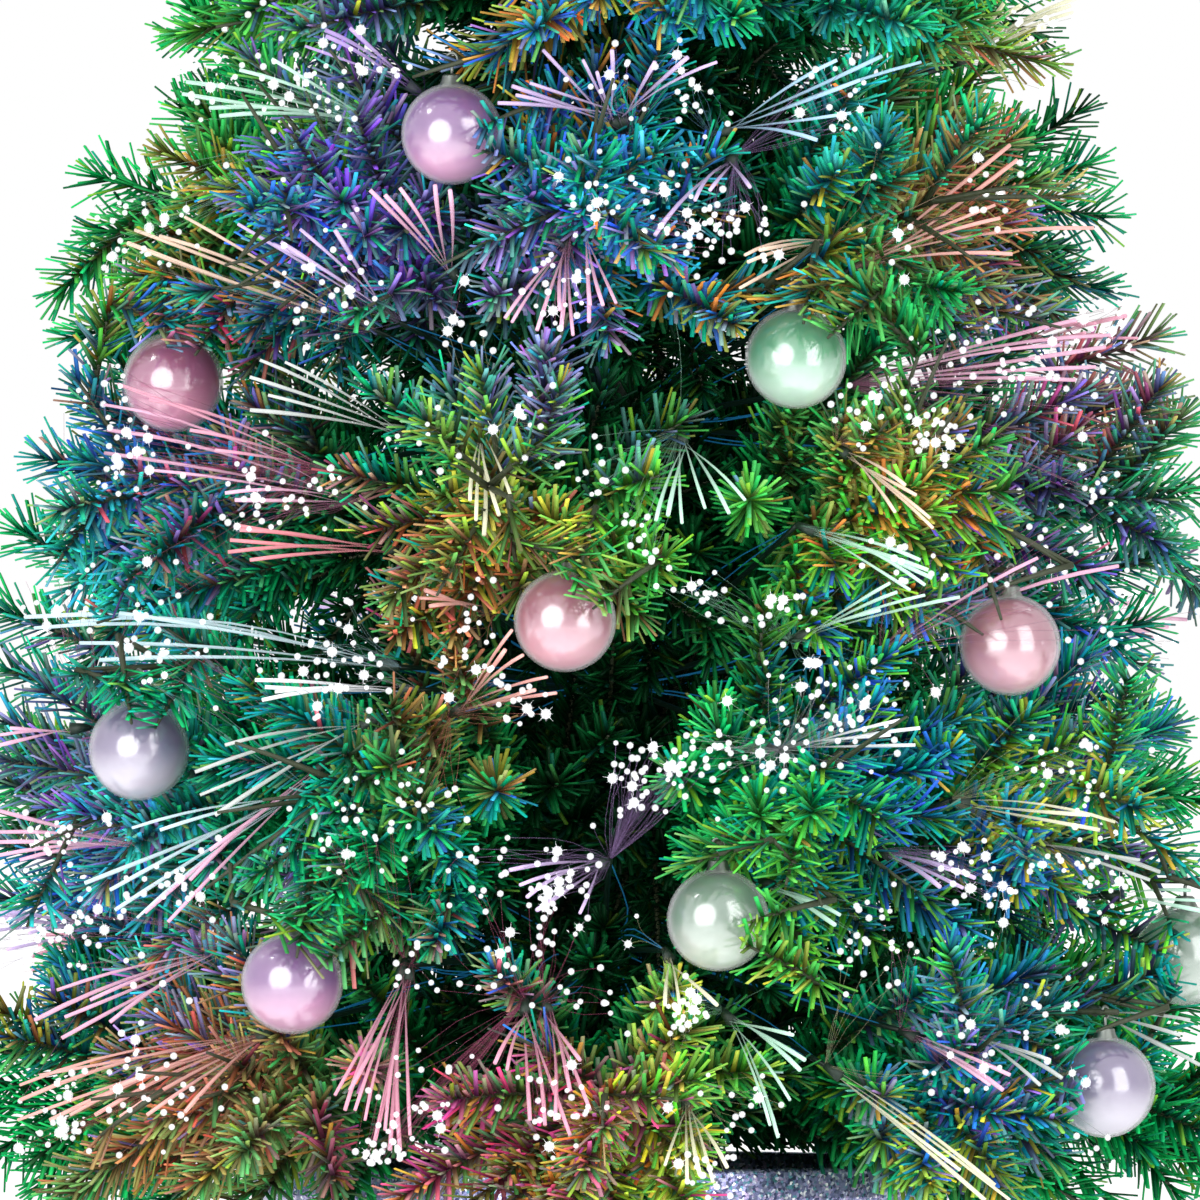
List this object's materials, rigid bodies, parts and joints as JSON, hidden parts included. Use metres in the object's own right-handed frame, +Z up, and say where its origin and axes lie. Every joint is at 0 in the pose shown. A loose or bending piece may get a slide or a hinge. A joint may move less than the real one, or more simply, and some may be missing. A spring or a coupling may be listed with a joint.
{
  "type": "fibre optic christmas tree",
  "caption": "Fibre optic Christmas tree in a pot: a lamp and a turning colour wheel light fans of fibre among whorls of needle branches hung with pearly balls.",
  "frame": {"origin": "centre of the pot's foot, at the level that the rubber feet stand on", "axes": "+Z up along the trunk, -Y towards the front of the picture, +Y towards the inlet and switch"},
  "size_m": [0.5182, 0.5182, 1.2],
  "materials": {
    "glitter_pot": "blue-violet plastic under a coat of fine glitter",
    "black_plastic": "black, satin",
    "black_rubber": "black, matte",
    "rocker_plastic": "black, satin",
    "white_ceramic": "white, unglazed",
    "lamp_reflector": "pressed glass with a mirror coat",
    "wheel_plastic": "white, satin",
    "filter_red": "clear red film",
    "filter_blue": "clear blue film",
    "filter_green": "clear green film",
    "filter_amber": "clear amber film",
    "zinc_steel": "zinc-plated, satin",
    "lead_sheath": "black flexible sheath",
    "trunk_paint": "dark green paint",
    "ferrule_brass": "turned, satin",
    "optical_fibre": "clear plastic fibre, polished ends",
    "pine_needles": "cut green film needles on twisted wire",
    "pearl_rose": "pearly rose",
    "pearl_mint": "pearly mint green",
    "pearl_silver": "pearly silver-lilac"
  },
  "bodies": {
    "base": {"pot_shell": "glitter_pot", "base_plate": "black_plastic", "foot_1": "black_rubber", "foot_2": "black_rubber", "foot_3": "black_rubber", "foot_4": "black_rubber", "pot_deck": "black_plastic", "lamp_holder": "white_ceramic", "lamp": "lamp_reflector", "wheel_motor": "zinc_steel", "motor_bracket": "zinc_steel", "power_inlet": "black_plastic", "switch_housing": "black_plastic", "terminal_block": "white_ceramic", "inlet_lead": "lead_sheath", "lamp_lead": "lead_sheath", "motor_lead": "lead_sheath"},
    "colour_wheel": {"wheel_frame": "wheel_plastic", "filter_red": "filter_red", "filter_blue": "filter_blue", "filter_green": "filter_green", "filter_amber": "filter_amber", "wheel_shaft": "zinc_steel"},
    "switch_rocker": {"switch_rocker": "rocker_plastic"},
    "tree": {"trunk_tube": "trunk_paint", "fibre_ferrule": "ferrule_brass", "fibre_bundle": "optical_fibre", "leader": "pine_needles", "foliage_1": "pine_needles", "foliage_2": "pine_needles", "foliage_3": "pine_needles", "foliage_4": "pine_needles", "foliage_5": "pine_needles", "foliage_6": "pine_needles", "foliage_7": "pine_needles", "foliage_8": "pine_needles", "foliage_9": "pine_needles", "fibres_1": "optical_fibre", "fibres_2": "optical_fibre", "fibres_3": "optical_fibre", "fibres_4": "optical_fibre", "fibres_5": "optical_fibre", "fibres_6": "optical_fibre", "fibres_7": "optical_fibre", "fibres_8": "optical_fibre"},
    "bauble_01": {"bauble_01": "pearl_rose"},
    "bauble_02": {"bauble_02": "pearl_rose"},
    "bauble_03": {"bauble_03": "pearl_mint"},
    "bauble_04": {"bauble_04": "pearl_rose"},
    "bauble_05": {"bauble_05": "pearl_rose"},
    "bauble_06": {"bauble_06": "pearl_silver"},
    "bauble_07": {"bauble_07": "pearl_mint"},
    "bauble_08": {"bauble_08": "pearl_silver"},
    "bauble_09": {"bauble_09": "pearl_silver"},
    "bauble_10": {"bauble_10": "pearl_mint"},
    "bauble_11": {"bauble_11": "pearl_rose"},
    "bauble_12": {"bauble_12": "pearl_silver"}
  },
  "joints": [
    {"name": "colour_wheel_spin", "type": "hinge", "parent": "base", "child": "colour_wheel", "pos_m": [-0.045, 0, 0.0766], "axis": [0, 0, 1], "continuous": true},
    {"name": "switch_rocker_tip", "type": "hinge", "parent": "base", "child": "switch_rocker", "pos_m": [-0.014, 0.1198, 0.04], "axis": [1, 0, 0], "range_deg": [0, 14]},
    {"name": "tree_lift", "type": "slide", "parent": "base", "child": "tree", "axis": [0, 0, 1], "range_m": [0, 0.08]},
    {"name": "bauble_01_swing", "type": "hinge", "parent": "tree", "child": "bauble_01", "pos_m": [-0.06004, -0.15214, 0.59435], "axis": [-0.3671, -0.9302, 0], "range_deg": [-15, 15]},
    {"name": "bauble_02_swing", "type": "hinge", "parent": "tree", "child": "bauble_02", "pos_m": [-0.17116, -0.07588, 0.49787], "axis": [-0.9142, -0.4053, 0], "range_deg": [-15, 15]},
    {"name": "bauble_03_swing", "type": "hinge", "parent": "tree", "child": "bauble_03", "pos_m": [0.07478, -0.16951, 0.50625], "axis": [0.4036, -0.9149, 0], "range_deg": [-15, 15]},
    {"name": "bauble_04_swing", "type": "hinge", "parent": "tree", "child": "bauble_04", "pos_m": [-0.01559, -0.20719, 0.40332], "axis": [-0.075, -0.9972, 0], "range_deg": [-15, 15]},
    {"name": "bauble_05_swing", "type": "hinge", "parent": "tree", "child": "bauble_05", "pos_m": [0.15924, -0.13641, 0.39381], "axis": [0.7594, -0.6506, 0], "range_deg": [-15, 15]},
    {"name": "bauble_06_swing", "type": "hinge", "parent": "tree", "child": "bauble_06", "pos_m": [-0.18368, -0.11658, 0.35237], "axis": [-0.8443, -0.5359, 0], "range_deg": [-15, 15]},
    {"name": "bauble_07_swing", "type": "hinge", "parent": "tree", "child": "bauble_07", "pos_m": [0.04393, -0.22418, 0.28709], "axis": [0.1923, -0.9813, 0], "range_deg": [-15, 15]},
    {"name": "bauble_08_swing", "type": "hinge", "parent": "tree", "child": "bauble_08", "pos_m": [-0.12211, -0.19729, 0.26208], "axis": [-0.5263, -0.8503, 0], "range_deg": [-15, 15]},
    {"name": "bauble_09_swing", "type": "hinge", "parent": "tree", "child": "bauble_09", "pos_m": [0.19669, -0.13233, 0.21992], "axis": [0.8297, -0.5582, 0], "range_deg": [-15, 15]},
    {"name": "bauble_10_swing", "type": "hinge", "parent": "tree", "child": "bauble_10", "pos_m": [0.23001, -0.06856, 0.27072], "axis": [0.9583, -0.2856, 0], "range_deg": [-15, 15]},
    {"name": "bauble_11_swing", "type": "hinge", "parent": "tree", "child": "bauble_11", "pos_m": [0.10152, 0.19094, 0.3595], "axis": [0.4695, 0.8829, 0], "range_deg": [-15, 15]},
    {"name": "bauble_12_swing", "type": "hinge", "parent": "tree", "child": "bauble_12", "pos_m": [-0.08439, 0.15871, 0.5295], "axis": [-0.4695, 0.8829, 0], "range_deg": [-15, 15]}
  ]
}
